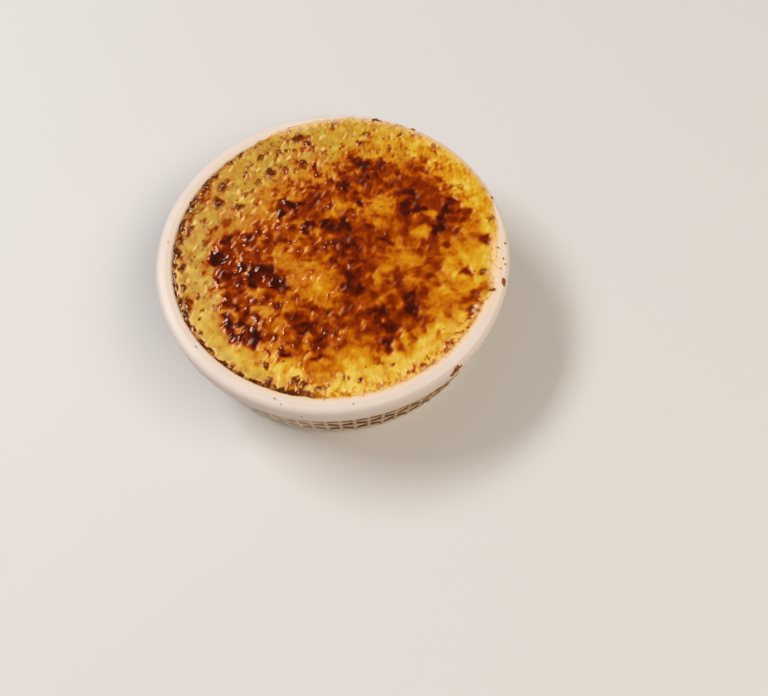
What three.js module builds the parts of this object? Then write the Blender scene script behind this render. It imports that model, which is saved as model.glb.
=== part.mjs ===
// Crema catalana in its own dish: a shallow round stoneware ramekin with a smooth collar over a basket-weave
// wall, filled to the brim with set custard whose burnt-sugar top runs over the rim at the back and right.
// Millimetres, +Z up. The origin is the centre of the foot's underside. Angles start at the front (-Y) and
// grow towards the right (+X).
import * as THREE from "three";

// Dish
const RIM_RADIUS = 60.5; // outside of the collar
const HEIGHT = 33.5; // foot to the top of the rim
const BRIM_RADIUS = 54.7; // inside of the rim, where the custard meets it
const RIM_OUTER_ROUND = 1.8;
const RIM_INNER_ROUND = 1.2;
const COLLAR_BOTTOM = 25.4;
const COLLAR_ROUND = 0.8;
const WALL_TOP_RADIUS = 57.9; // bottom of the weave's pits just under the collar
const HEEL_RADIUS = 53.6; // the same just over the foot
const HEEL_ROUND = 2.4;
const FOOT_INNER_RADIUS = 46.4;
const RECESS_DEPTH = 1.2; // how far the underside is lifted inside the foot
const FLOOR_TOP = 4.8; // inside of the floor
const CORNER_ROUND = 6; // between the floor and the wall, inside
const CORNER_RADIUS = 51.8; // inside of the wall where that round ends
const DISH_SEGMENTS_PER_STAVE = 2;

// Basket weave on the outside of the wall
const STAVES = 74; // upright rods, an even number so that over and under close up
const WEAVE_ROWS = 4;
const WEAVE_BOTTOM = 2.6;
const WEAVE_TOP = 24.6;
const STRAND_PROUD = 1.1; // a strand's crown over the bottom of the pits
const STRAND_DIP = 0.5; // how much of that is left where the strand is behind a stave
const STAVE_PROUD = 0.8;
const STAVE_HALF_WIDTH = 0.3; // as a share of the stave spacing
const LEVELS_PER_ROW = 3;

// Custard
const GAP = 0.3; // between the custard and the dish
const CUSTARD_SEGMENTS = 60;
const CUSTARD_RINGS = 8;
const LEVEL = 32.9; // mean height of the crust at its edge
const LEVEL_TILT = 0.7; // the edge stands this much higher at the overflow, and as much lower opposite
const DOME = 0.5; // the middle over the edge
const BLISTER = 0.3; // height of the crust's broad swells
const OVERFLOW_ANGLE = THREE.MathUtils.degToRad(138); // middle of the stretch that runs over the rim
const OVERFLOW_HALF_SPAN = THREE.MathUtils.degToRad(74);
const OVERFLOW_REACH = 4.6; // how far it runs out over the rim
const OVERFLOW_THICKNESS = 0.7;
const OVERFLOW_BEVEL = 0.5;

const QUARTER = Math.PI / 2;
const { lerp, smoothstep } = THREE.MathUtils;

// Points of an arc about (centreRadius, centreHeight). 0 points outwards and a quarter turn points up.
function arc(centreRadius, centreHeight, radius, from, to, steps) {
  return Array.from({ length: steps + 1 }, (_, i) => {
    const angle = lerp(from, to, i / steps);
    return [centreRadius + radius * Math.cos(angle), centreHeight + radius * Math.sin(angle)];
  });
}

// Turns a profile about Z. profileAt(angle) gives its [radius, height] points, always the same number of them.
function turn(profileAt, segments) {
  const outline = profileAt(0).map(([radius, height]) => new THREE.Vector2(radius, height));
  const geometry = new THREE.LatheGeometry(outline, segments);
  const position = geometry.getAttribute("position");
  for (let column = 0; column <= segments; column++) {
    const angle = (2 * Math.PI * (column % segments)) / segments;
    profileAt(angle).forEach(([radius, height], i) => {
      const x = radius * Math.sin(angle);
      const y = -radius * Math.cos(angle);
      position.setXYZ(column * outline.length + i, x, y, height);
    });
  }
  geometry.computeVertexNormals();
  return geometry;
}

// How far the weave stands out of the wall. In each row the strand rides over every other stave and dives
// behind the ones between. Pits are left where two rows meet between two staves.
function weaveRelief(angle, height) {
  const stave = (angle / (2 * Math.PI)) * STAVES;
  const row = ((height - WEAVE_BOTTOM) / (WEAVE_TOP - WEAVE_BOTTOM)) * WEAVE_ROWS;
  if (row <= 0 || row >= WEAVE_ROWS) return 0;
  const roundness = Math.sin(Math.PI * (row % 1));
  const over = (1 + Math.cos(Math.PI * (stave + Math.floor(row)))) / 2;
  const strand = STRAND_PROUD * roundness * lerp(STRAND_DIP, 1, over);
  const fromStave = Math.abs(stave - Math.round(stave));
  const rod = STAVE_PROUD * Math.max(0, 1 - (fromStave / STAVE_HALF_WIDTH) ** 2);
  return Math.max(strand, rod);
}

function dish() {
  const levels = WEAVE_ROWS * LEVELS_PER_ROW;
  const heelBevel = HEEL_ROUND * (1 - Math.SQRT1_2);
  const profileAt = (angle) => [
    [0, RECESS_DEPTH],
    [FOOT_INNER_RADIUS - RECESS_DEPTH, RECESS_DEPTH],
    [FOOT_INNER_RADIUS, 0],
    [HEEL_RADIUS - HEEL_ROUND, 0],
    [HEEL_RADIUS - heelBevel, heelBevel],
    ...Array.from({ length: levels + 1 }, (_, i) => {
      const height = lerp(WEAVE_BOTTOM, WEAVE_TOP, i / levels);
      return [lerp(HEEL_RADIUS, WALL_TOP_RADIUS, i / levels) + weaveRelief(angle, height), height];
    }),
    ...arc(RIM_RADIUS - COLLAR_ROUND, COLLAR_BOTTOM + COLLAR_ROUND, COLLAR_ROUND, -QUARTER, 0, 1),
    ...arc(RIM_RADIUS - RIM_OUTER_ROUND, HEIGHT - RIM_OUTER_ROUND, RIM_OUTER_ROUND, 0, QUARTER, 2),
    ...arc(BRIM_RADIUS + RIM_INNER_ROUND, HEIGHT - RIM_INNER_ROUND, RIM_INNER_ROUND, QUARTER, 2 * QUARTER, 2),
    ...arc(CORNER_RADIUS - CORNER_ROUND, FLOOR_TOP + CORNER_ROUND, CORNER_ROUND, 0, -QUARTER, 2),
    [0, FLOOR_TOP],
  ];
  return turn(profileAt, STAVES * DISH_SEGMENTS_PER_STAVE);
}

// 1 along the middle of the overflow, falling to 0 at its two ends.
function overflow(angle) {
  const turned = angle - OVERFLOW_ANGLE;
  const away = Math.abs(Math.atan2(Math.sin(turned), Math.cos(turned)));
  return 1 - smoothstep(away, 0.35 * OVERFLOW_HALF_SPAN, OVERFLOW_HALF_SPAN);
}

// Height of the crust: tilted up towards the overflow and a little domed, with broad low swells.
function crustHeight(radius, angle) {
  const share = radius / BRIM_RADIUS;
  const x = radius * Math.sin(angle);
  const y = -radius * Math.cos(angle);
  const swell = Math.sin(x / 5.1 + 1.3 * Math.sin(y / 9)) * Math.cos(y / 4.3 + 0.9 * Math.sin(x / 7));
  const tilt = LEVEL_TILT * share * Math.cos(angle - OVERFLOW_ANGLE);
  const calmEdge = 1 - smoothstep(share, 0.75, 0.98);
  return LEVEL + tilt + DOME * (1 - share ** 2) + BLISTER * swell * calmEdge;
}

function custard() {
  const wallRadius = BRIM_RADIUS - GAP;
  const lipUnderside = HEIGHT + GAP;
  const lipTop = lipUnderside + OVERFLOW_THICKNESS;
  const cornerHeight = FLOOR_TOP + CORNER_ROUND;
  const profileAt = (angle) => {
    const reach = overflow(angle);
    const onRim = smoothstep(reach, 0, 0.12);
    const lipRadius = wallRadius + OVERFLOW_REACH * reach;
    const edge = crustHeight(wallRadius, angle);
    return [
      [0, FLOOR_TOP + GAP],
      ...arc(CORNER_RADIUS - CORNER_ROUND, cornerHeight, CORNER_ROUND - GAP, -QUARTER, 0, 2),
      [wallRadius, lerp(edge - 0.6, lipUnderside, onRim)],
      [lipRadius, lerp(edge - 0.4, lipUnderside, onRim)],
      [lipRadius - OVERFLOW_BEVEL * reach, lerp(edge - 0.2, lipTop, onRim)],
      ...Array.from({ length: CUSTARD_RINGS + 1 }, (_, i) => {
        const radius = wallRadius * (1 - i / CUSTARD_RINGS);
        const risen = onRim * smoothstep(radius / wallRadius, 0.86, 1);
        return [radius, lerp(crustHeight(radius, angle), lipTop, risen)];
      }),
    ];
  };
  return turn(profileAt, CUSTARD_SEGMENTS);
}

const glazedStoneware = new THREE.MeshStandardMaterial({ color: 0xe8d6c8, roughness: 0.28, metalness: 0 });
const burntCream = new THREE.MeshStandardMaterial({ color: 0xc8862a, roughness: 0.35, metalness: 0 });

const cremaCatalana = new THREE.Group();
for (const [name, geometry, material] of [
  ["dish", dish(), glazedStoneware],
  ["custard", custard(), burntCream],
]) {
  const piece = new THREE.Mesh(geometry, material);
  piece.name = name;
  cremaCatalana.add(piece);
}

export default cremaCatalana;
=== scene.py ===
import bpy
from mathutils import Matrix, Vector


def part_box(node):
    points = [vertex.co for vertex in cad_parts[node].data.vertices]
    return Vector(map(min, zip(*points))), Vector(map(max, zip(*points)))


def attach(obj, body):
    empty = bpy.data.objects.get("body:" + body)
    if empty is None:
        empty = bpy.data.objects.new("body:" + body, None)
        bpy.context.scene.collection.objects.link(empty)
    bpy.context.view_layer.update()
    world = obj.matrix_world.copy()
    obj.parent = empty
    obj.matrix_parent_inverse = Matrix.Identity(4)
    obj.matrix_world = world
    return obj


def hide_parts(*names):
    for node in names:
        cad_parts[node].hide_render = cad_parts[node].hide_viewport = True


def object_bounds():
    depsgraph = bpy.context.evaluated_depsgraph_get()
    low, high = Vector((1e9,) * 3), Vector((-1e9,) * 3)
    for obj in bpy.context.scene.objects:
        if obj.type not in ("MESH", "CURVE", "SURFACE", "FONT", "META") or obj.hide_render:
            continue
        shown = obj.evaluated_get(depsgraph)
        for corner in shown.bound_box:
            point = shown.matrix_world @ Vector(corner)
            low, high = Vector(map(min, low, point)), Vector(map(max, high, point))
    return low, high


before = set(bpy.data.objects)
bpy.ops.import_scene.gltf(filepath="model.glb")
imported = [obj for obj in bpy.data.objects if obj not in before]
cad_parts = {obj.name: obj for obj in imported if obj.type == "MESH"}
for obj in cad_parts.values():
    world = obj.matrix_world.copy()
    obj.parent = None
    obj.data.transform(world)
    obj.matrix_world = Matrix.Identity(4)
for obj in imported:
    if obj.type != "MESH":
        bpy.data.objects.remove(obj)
cad_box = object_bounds()

from types import SimpleNamespace

import bpy
import numpy as np
from mathutils import Matrix, Vector

# Crema catalana in its dish: a shallow stoneware ramekin with a smooth collar over a basket-weave wall,
# filled to the brim with set custard under a crust of burnt sugar that runs over the rim at the back and
# right. Lengths are millimetres until a mesh is made. The origin is the centre of the foot's underside.
# Angles start at the front (-Y) and grow towards the right (+X).

MM = 0.001
TAU = 2 * np.pi

# Dish
dish_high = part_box("dish")[1]
RIM_RADIUS = dish_high.x / MM
HEIGHT = dish_high.z / MM
BRIM_RADIUS = RIM_RADIUS - 5.8  # inside of the rim, where the custard meets it
RIM_OUTER_ROUND = 2.3
RIM_INNER_ROUND = 1.2
RIM_SAG = 0.3  # how far the two ends of the rim's flat lie under its crown
COLLAR_BOTTOM = HEIGHT - 8.1
COLLAR_ROUND = 0.8
STEP_ROUND = 0.4  # in the corner under the collar
COLLAR_TAPER = 0.25  # how much narrower the collar is at its lower edge
WALL_TOP_RADIUS = RIM_RADIUS - 2.4  # bottom of the weave's pits just under the collar
HEEL_RADIUS = RIM_RADIUS - 6.7  # the same just over the foot
HEEL_ROUND = 2.4
FOOT_INNER_RADIUS = 46.4
FOOT_ROUND = 0.6
FOOT_MIDDLE = 48.9  # on the flat of the foot ring
RECESS_DEPTH = 1.2
RECESS_ROUND = 0.5
FLOOR_TOP = 4.8
CORNER_ROUND = 6
CORNER_RADIUS = 51.8
INNER_WALL = ((54.2, 27), (53.2, 19))  # radius and height of two points between the brim and that corner
COLUMNS_PER_STAVE = 10

# Basket weave
STAVES = 74
WEAVE_ROWS = 4
LEVELS_PER_ROW = 17
WEAVE_BOTTOM = 2.6
WEAVE_TOP = 24.6
STRAND_PROUD = 0.75
STRAND_DIP = 0.5
STAVE_PROUD = 0.6
STAVE_HALF_WIDTH = 0.14
STRAND_SHARE = 0.46  # how much of a row the strand fills

# Custard
GAP = 0.3
LEVEL = HEIGHT - 0.6
LEVEL_TILT = 0.7
DOME = 0.5
SWELL = 0.3
OVERFLOW_ANGLE = 138
OVERFLOW_FILM = 0.42
EDGE_FILM = -0.05  # the custard's edge dips this far into the rim, so that it ends without a step
HIGHEST = cad_box[1].z / MM  # the crust ends at the height of the CAD
SIDE_MIDDLE = (53, 19)  # radius and height of a point of the side
CRUST_CELLS = 290  # along each side of the square that is bent into the disc
# How far out the custard reaches at these angles (degrees, millimetres)
OUTLINE = (
    (-147, 0), (-21, 0), (-16, 0.6), (-12, 0.1), (-8.5, 0), (-6, 1.7), (-4.5, 1.2), (-2, 0), (50, 0),
    (63, 0), (67, 1.2), (70, 2.2), (73, 1), (80, 0.9), (90, 1.6), (98, 3.2), (106, 4.6), (138, 4.6),
    (160, 4.2), (171, 3.4), (181, 2.6), (191, 1.8), (201, 0.9), (213, 0),
)


# ---- fields


def smoothstep(value, low, high):
    """0 below low, 1 above high, and 3t^2 - 2t^3 between."""
    t = np.clip((value - low) / (high - low), 0, 1)
    return t * t * (3 - 2 * t)


def mix(first, second, share):
    """first where share is 0, second where it is 1."""
    return first + (second - first) * share


def waves(x, y, cell, seed):
    """Gradient noise from about -1 to 1: each lattice corner has a slope in a random direction, and the
    four slopes round a point are blended with the fifth-power ease."""
    slopes = np.random.default_rng(seed).uniform(0, TAU, (64, 64))
    column = np.floor(x / cell).astype(int)
    row = np.floor(y / cell).astype(int)
    u = x / cell - column
    v = y / cell - row

    def corner(right, up):
        slope = slopes[(column + right) % 64, (row + up) % 64]
        return np.cos(slope) * (u - right) + np.sin(slope) * (v - up)

    ease_u, ease_v = (t**3 * (t * (6 * t - 15) + 10) for t in (u, v))
    lower = mix(corner(0, 0), corner(1, 0), ease_u)
    upper = mix(corner(0, 1), corner(1, 1), ease_u)
    return 1.5 * mix(lower, upper, ease_v)


def rough(x, y, cell, seed, octaves=3, falloff=0.55):
    """Waves of several sizes, each half as wide as the one before and falloff times as strong, over the
    sum of their strengths."""
    shares = [falloff**octave for octave in range(octaves)]
    layers = (share * waves(x, y, cell / 2**i, seed + i) for i, share in enumerate(shares))
    return sum(layers) / sum(shares)


def beads(x, y, cell, smallest, largest, seed):
    """One round bead at a random place in each lattice cell. Returns 1 - (distance / bead radius)^2 for the
    bead that covers a point best, and a random number from 0 to 1 that is the same all over one bead."""
    random = np.random.default_rng(seed)
    place = random.uniform(0.1, 0.9, (2, 64, 64))
    radii = random.uniform(smallest, largest, (64, 64))
    lots = random.random((64, 64))
    column = np.floor(x / cell).astype(int)
    row = np.floor(y / cell).astype(int)
    cover = np.full(np.shape(x), -9.0)
    lot = np.zeros(np.shape(x))
    for right in (-1, 0, 1):
        for up in (-1, 0, 1):
            i = (column + right) % 64
            j = (row + up) % 64
            away_x = x - (column + right + place[0, i, j]) * cell
            away_y = y - (row + up + place[1, i, j]) * cell
            here = 1 - (away_x**2 + away_y**2) / radii[i, j] ** 2
            lot = np.where(here > cover, lots[i, j], lot)
            cover = np.maximum(cover, here)
    return cover, lot


def along(x, y, angle, stretch):
    """The plane turned by an angle in degrees and pressed together along that direction, so that round
    forms worked out on it come out that much longer."""
    c = np.cos(np.radians(angle))
    s = np.sin(np.radians(angle))
    return (c * x + s * y) / stretch, c * y - s * x


def patches(x, y, spots):
    """Soft round patches (x, y, radius, strength) laid over each other: 1 less the product of what each one
    leaves, where a patch is full up to a quarter of its radius and gone at 1.25 times."""
    left = np.ones(np.shape(x))
    for spot_x, spot_y, radius, strength in spots:
        distance = np.hypot(x - spot_x, y - spot_y) / radius
        left = left * (1 - strength * (1 - smoothstep(distance, 0.25, 1.25)))
    return 1 - left


def degrees_round(x, y):
    """Angle from the front, growing to the right, from -180 to 180."""
    return np.degrees(np.arctan2(x, -y))


def outreach(angle):
    """How far the custard reaches past the brim at an angle in degrees: the outline's numbers joined by
    lines, smoothed by averaging three neighbours, with a lobed edge where it lies on the rim."""
    angles = [a for a, _ in OUTLINE]
    reaches = [r for _, r in OUTLINE]
    near = (np.interp(angle + turn, angles, reaches, period=360) for turn in (-2, 0, 2))
    mean = sum(near) / 3
    x = 57 * np.sin(np.radians(angle))
    y = -57 * np.cos(np.radians(angle))
    lobes = 0.5 * waves(x, y, 6.0, 301) + 0.35 * waves(x, y, 2.4, 302)
    frills = 0.32 * waves(x, y, 3.1, 303) + 0.26 * waves(x, y, 1.3, 304)
    return mean + mix(0.3 + frills, lobes, smoothstep(mean, 0.2, 2.5))


def rim_height(radius):
    """Height of the dish's rim: a quarter round from the brim, a low arch, and an outer quarter round."""
    start = BRIM_RADIUS + RIM_INNER_ROUND
    end = RIM_RADIUS - RIM_OUTER_ROUND
    inner = np.clip(start - radius, 0, RIM_INNER_ROUND)
    outer = np.clip(radius - end, 0, RIM_OUTER_ROUND)
    drop_inner = RIM_INNER_ROUND - np.sqrt(RIM_INNER_ROUND**2 - inner**2)
    drop_outer = RIM_OUTER_ROUND - np.sqrt(RIM_OUTER_ROUND**2 - outer**2)
    across = np.clip((2 * radius - start - end) / (end - start), -1, 1)
    return HEIGHT - RIM_SAG * across**2 - drop_inner - drop_outer


# ---- browning

# Soft round patches on the top: (x, y, radius, strength)
CARAMEL = (
    (-48.5, 1, 9, 0.4), (36, -37, 7, 0.35), (10, 8, 34, 1), (28, 22, 20, 1), (-24, -6, 22, 1),
    (-16, -26, 20, 1), (10, -24, 24, 1), (33, 2, 17, 0.9), (-12, 22, 18, 1), (10, 33, 15, 1),
    (-32, 6, 15, 1), (27, -21, 16, 1), (-5, -41, 10, 0.7), (45, -20, 8, 0.6), (-40, 26, 12, 0.5),
    (-12, 44, 11, 0.35), (46, 9, 7, 0.7), (24, 42, 10, 0.15), (51.5, 0.5, 5, 0.9), (-8, -48, 4, 0.4),
    (-32, -28, 7, 0.7),
)
CLOUDS = (
    (6, 6, 14, 0.95), (8, -8, 11, 0.95), (-12, 20, 12, 0.9), (12, 31, 13, 0.95), (30, 17, 14, 0.9),
    (31, 29, 10, 0.75), (40, 12, 9, 0.9), (-34, -1, 11, 0.9), (-31, -22, 9, 0.9), (-26, -32, 8, 0.9),
    (-9, -30, 11, 0.8), (6, -26, 10, 0.65), (18, -29, 11, 0.85), (30, -5, 10, 0.6), (-36, 7, 7, 0.5),
    (-21, 7, 8.5, 0.7), (22, -12, 6, 0.7), (-20, -14, 8, 0.8), (-8, 36, 6, 0.5), (45, -24, 5.5, 0.9),
    (44, -11.4, 4.4, 0.9), (41, -18.5, 2.4, 0.4), (-9, -1, 7, 0.5), (-5, -40, 6, 0.5), (26, -20, 8, 0.8),
    (-24, -7, 8, 0.9), (33, 3, 6, 0.7), (-37, -12, 6, 0.7), (20, 3, 8, 0.6), (2, 24, 8, 0.6),
    (22, -11, 3.5, 0.6), (28, -11, 3.5, 0.7), (34, -11.5, 3.4, 0.7), (30, -17.5, 3, 0.7), (29, -29, 4, 0.6),
    (-43, -6, 4, 0.5), (-38.5, -12.4, 4.4, 0.9), (-50, 17, 4, 0.5), (-46, 22, 5, 0.5), (-51, 0, 3.4, 0.5),
    (-36, -25, 5, 0.7), (-32, -34, 3.4, 0.5), (-31, -28.5, 8, 0.95), (-18, -43, 6, 0.5), (1, -20, 3, 0.7),
    (-17.5, 2, 3, 0.6), (-4, 4, 4, 0.5), (17, -38.5, 4, 0.7), (-47, -15.5, 2.8, 0.8), (-7.5, -48, 3, 0.5),
    (12, -18.5, 3, 0.7), (40, 3, 3, 0.5), (43, 24.5, 2.6, 0.5), (-2, -38.5, 3, 0.5), (12, 19, 4, 0.5),
    (15, -16, 4, 0.5), (49, 13, 4, 0.5), (-9, -4.5, 4, 0.5), (-13.5, 4.5, 4, 0.6), (31.5, -32, 3.4, 0.8),
    (0.6, -34.5, 4, 0.7), (35, -15.5, 2.8, 0.8), (49.5, 10, 2.6, 0.7), (43, 5, 3, 0.7),
    (37, -27.5, 1.8, 0.7), (50, -12, 1.8, 0.8), (39, -1.2, 1.8, 0.8), (48, -19.5, 2.4, 0.7),
)
SCORCHES = (
    (33.2, -33.8, 3.2, 0.3), (5.4, -49, 2.6, 0.32), (14, 32.5, 6.5, 0.6), (10, 37.5, 3.5, 0.5),
    (5, 26, 4.5, 0.55), (-4, 32, 2.6, 0.6), (-10, 37.5, 3.2, 0.8), (-8, 25, 3.4, 0.5),
    (-14.5, 17.5, 6.5, 0.85), (-8, 10, 3.6, 1), (-5, 9.5, 2.8, 0.8), (-1.5, 10.5, 3, 0.85),
    (4, 10, 4.4, 0.78), (6, 1, 6.5, 0.5), (6, -8, 6, 0.45), (7, -13, 5, 0.5), (7, -17, 3.8, 1),
    (15, -25, 4.4, 0.9), (18, -30.5, 4, 0.9), (15.2, -38.4, 5, 1), (25, -21, 3.6, 1), (26, -25.5, 3.4, 1),
    (19, -14, 3.4, 0.4), (-26, -7.5, 4, 0.95), (-22, -7.5, 3.2, 0.9), (-39, -1, 3.8, 1),
    (-36, -6.5, 3.8, 0.9), (-31.5, -5, 3.4, 0.9), (-18.5, -12.5, 4, 0.9), (-32, -12, 3.8, 0.85),
    (-26.5, -12, 2.6, 0.7), (-27.5, 4.5, 3.6, 1), (-36, 6.5, 3.4, 0.6), (-33, -24, 5, 1),
    (-29, -24, 3.4, 0.8), (-38.5, -12.5, 3.4, 0.9), (-20.5, -25.2, 3.2, 0.8), (-16.5, -35.5, 3, 0.7),
    (-13.5, 4, 3, 0.4), (-1.5, -9, 2.6, 0.6), (-31, -5, 2.4, 0.6), (22, 38, 3.4, 0.8), (-8.5, 43, 3, 0.6),
    (33, -33, 3, 0.5), (-2, -23.5, 2.6, 0.6), (43, 5, 2.6, 0.6), (-35, -19, 3, 0.5), (-47, -15.5, 2.6, 0.6),
    (-27, -32.5, 4.8, 0.95), (-32, -29, 4.6, 0.95), (-30.5, -26, 3.4, 0.7), (-10, -29, 4.4, 0.9),
    (-8.5, -21, 3.2, 0.75), (-17.8, -21, 3.2, 0.9), (-4.5, -32.5, 3.4, 0.7), (-16, -38, 3.2, 0.75),
    (-6.5, -39.5, 3, 0.5), (-21.5, -49, 2.6, 0.9), (-11, -51, 3.2, 0.95), (-4.5, -42, 3, 0.5),
    (36.5, 6, 3.4, 1), (38, 10, 3, 0.9), (42, 15, 4.4, 0.9), (31.5, 14, 3.6, 0.85), (27.5, 15.5, 4, 0.75),
    (27, 22, 4, 0.65), (33.5, 29, 3, 0.3), (42, 25, 3, 0.4), (19, 2.5, 3.2, 0.75), (32.5, -1.5, 3.4, 0.5),
    (44, -11.4, 4, 1), (-14.5, -50, 2.2, 0.6), (45, -26, 3, 0.9), (52.3, 0.5, 3, 0.9), (-45, 28, 4, 0.7),
    (-40, 23.5, 3, 0.8), (-32.5, 20, 2.8, 0.75), (-30, 32.5, 2.4, 0.6), (-21.5, 34, 2.4, 0.75),
    (-25, 27.5, 2.4, 0.55), (-48, -18.5, 3.4, 0.9), (-8.5, 45, 3.2, 0.75), (-20, 44, 3, 0.55),
    (11.5, 18, 3.6, 0.95), (41, 23, 3.4, 0.5), (-49, 10, 3, 0.6), (28, 47, 3, 0.3),
)
CLOTS = (
    (-32.5, 43.5, 2.2, 1), (-36.5, 39.5, 2, 1), (-41.5, 34, 2.6, 1), (-38, 29.5, 2.4, 1), (-40, 22.5, 3, 1),
    (-32, 20, 2.4, 1), (-26, 29.5, 1.8, 0.8), (-21.5, 34, 2.6, 1), (-25, 41, 2, 0.8), (-23, 43.5, 1.6, 0.8),
    (-19.5, 43, 1.8, 0.9), (-15.5, 43.5, 1.6, 0.8), (-11.5, 49, 2.4, 1), (-8, 46, 2.6, 1),
    (-9.5, 37.5, 2.4, 0.9), (-9, 42.5, 1.8, 0.7), (-44, 29, 2.4, 0.9), (-30, 33.5, 2, 0.9),
    (-27, 21.5, 2, 0.7), (-46, 24, 1.8, 0.8), (-49, 12, 1.8, 0.9), (-50.5, 7, 1.4, 0.9),
    (-51, -3, 1.5, 0.9), (-50, -12, 1.6, 0.9), (-49.3, -17, 2.6, 1), (-48.3, -20.5, 2.2, 0.9),
    (-45, -15, 1.2, 0.7), (-42, 38.5, 1.2, 0.8), (11, 45, 2, 0.8), (7, 42, 1.4, 0.4), (-51.5, -4.5, 2, 1),
    (33, 38, 1.6, 0.5), (-2, 41, 1.6, 0.6), (-21.5, -48.5, 2.2, 1), (-11, -51.5, 2, 1),
    (-12.7, -48.6, 2.2, 1), (-22, -42.5, 1.6, 0.9), (-26, -47.8, 1.5, 0.9), (-8.5, -53, 1.6, 0.9),
    (-0.5, -48, 1.4, 0.35), (7.5, -49.3, 1.6, 0.4), (-8, -47, 1.6, 0.4), (-9.3, -49.3, 2, 0.9),
    (3, -48.4, 2, 0.6), (-33, -41.5, 1.6, 0.9), (-5, -51.5, 1.8, 0.8), (-44, -24, 1.2, 0.7),
    (-44, -28.5, 1.3, 0.8), (-46, -10, 1.1, 0.6), (45, -26, 2.6, 0.6), (49, -18, 1.6, 0.7),
    (47, -21, 1.8, 0.7), (51.2, -19, 1.6, 0.8), (53.4, -19.7, 1.3, 0.8), (50, -12, 1.4, 0.8),
    (18, -45, 1.2, 0.5),
)
CLEARINGS = (
    (-18, 34.8, 4, 0.8), (-24, 37, 4, 0.4), (-12, 24, 5, 0.3), (0, 13, 3.4, 0.35), (12, 12, 4, 0.3),
    (24, 0, 5, 0.3), (-6, -13, 7, 0.6), (-3, -18, 4, 0.5), (-13, -7, 5, 0.4), (-17, 1, 4, 0.2),
    (3, 17, 4, 0.4), (18, 16.5, 5.5, 1), (34, 12, 2.8, 0.7), (31, 5, 3.8, 0.7), (25, -5, 5, 0.6),
    (27, -13, 4.5, 0.4), (-25, 16, 6, 0.4), (-15, 27, 4, 0.5), (-17, -28, 3.4, 0.5), (-24, -22, 3, 0.45),
    (-43, -20, 3.6, 1), (43, 27, 4, 0.5), (47, -7, 5, 0.8), (35, -20, 3.5, 0.5), (28, -14.2, 1.8, 0.6),
    (45, -35, 4, 0.4), (2, -35, 3.4, 0.3), (-22, 25, 5, 0.5), (20, -5, 4, 0.4), (12, 43, 7, 0.6),
    (-18, 38, 4, 0.6), (30, -7.5, 4, 0.8), (-19, 26.5, 4, 0.7), (-17, 35.5, 5, 1), (23.5, -1, 3, 0.6),
    (35.5, 26.5, 3, 0.6), (4, 39, 4, 0.6), (39, -16, 2.4, 0.8), (-19.5, 27.5, 3, 0.6), (-13, 24, 3.4, 0.6),
    (-36.5, 11.5, 3.4, 0.7), (-21.5, 13, 3, 0.6), (37, 31, 3, 0.7), (21, -16.5, 2.4, 0.6),
    (17, 9, 3.4, 0.6), (13.5, 49, 4, 0.9), (25, 43.5, 4, 0.8), (2.5, 36, 3, 0.7), (7, 42, 3, 0.6),
    (-23.5, -15, 2.4, 0.6), (-16.5, 23, 3.4, 0.7), (28.5, 32.5, 3, 0.6), (-12, 40.5, 3, 0.5),
    (11, 23.5, 2.6, 0.6), (5, 45.5, 4, 0.6), (-36, -33.5, 3.6, 0.9), (-25, -41, 3, 0.5),
    (40, -16, 2.2, 0.7), (-12, -39.5, 2.6, 0.5),
)
# Crumbs and drips off the custard: (x, y, height or 0 to lie on the rim, size, stretch, heading in degrees,
# how burnt)
CRUMBS = (
    (17, 55.4, 0, 1.5, 1.5, 160, 0.85), (18, 54.9, 0, 1.3, 1.4, 170, 0.8),
    (17.8, 56, 0, 0.9, 1.6, 150, 0.65), (19.2, 55, 0, 0.8, 1.5, 165, 0.55),
    (16.4, 54.6, 0, 0.7, 1.2, 170, 0.7), (23.4, 50.6, 0, 1, 1.2, 150, 0.55),
    (25, 52.6, 0, 0.9, 1.3, 170, 0.7), (26.4, 52, 0, 0.8, 1.2, 150, 0.75),
    (30.8, 50.2, 0, 1.2, 1.4, 150, 0.7), (56.5, 18, 0, 0.9, 1.2, 120, 0.7),
    (59, -1.3, 0, 0.7, 1.3, 80, 0.5), (56.4, -3.3, 0, 0.5, 1.2, 170, 0.5),
    (57.7, -7.5, 0, 0.6, 1.4, 95, 0.6), (58.1, -9.6, 0, 0.55, 1.2, 170, 0.65),
    (56.2, -11.5, 0, 0.5, 1, 45, 0.6), (56.8, -16.3, 0, 1.4, 1.9, 85, 0.7),
    (56.9, -17.6, 0, 0.8, 1.4, 80, 0.6), (38.6, -46.6, 31.2, 2.4, 1.2, 40, 0.75),
    (37.4, -47.6, 30, 1.7, 1.5, 50, 0.6), (40, -45.4, 30.6, 1.2, 1.2, 20, 0.65),
    (-19.2, -54.4, 0, 0.45, 1.2, 95, 0.7), (-17.3, -56.3, 0, 0.35, 1, 170, 0.7),
    (5.4, -57.6, 0, 0.4, 1, 45, 0.8), (-11.2, -59.45, 29.5, 0.45, 1.3, 95, 0.7),
    (52.8, -19.6, 0, 0.9, 2.6, 5, 0.75), (-44.8, -34.6, 0, 0.4, 1.2, 45, 0.7),
    (-56.2, 6.5, 0, 0.35, 1.1, 20, 0.7),
)


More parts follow.
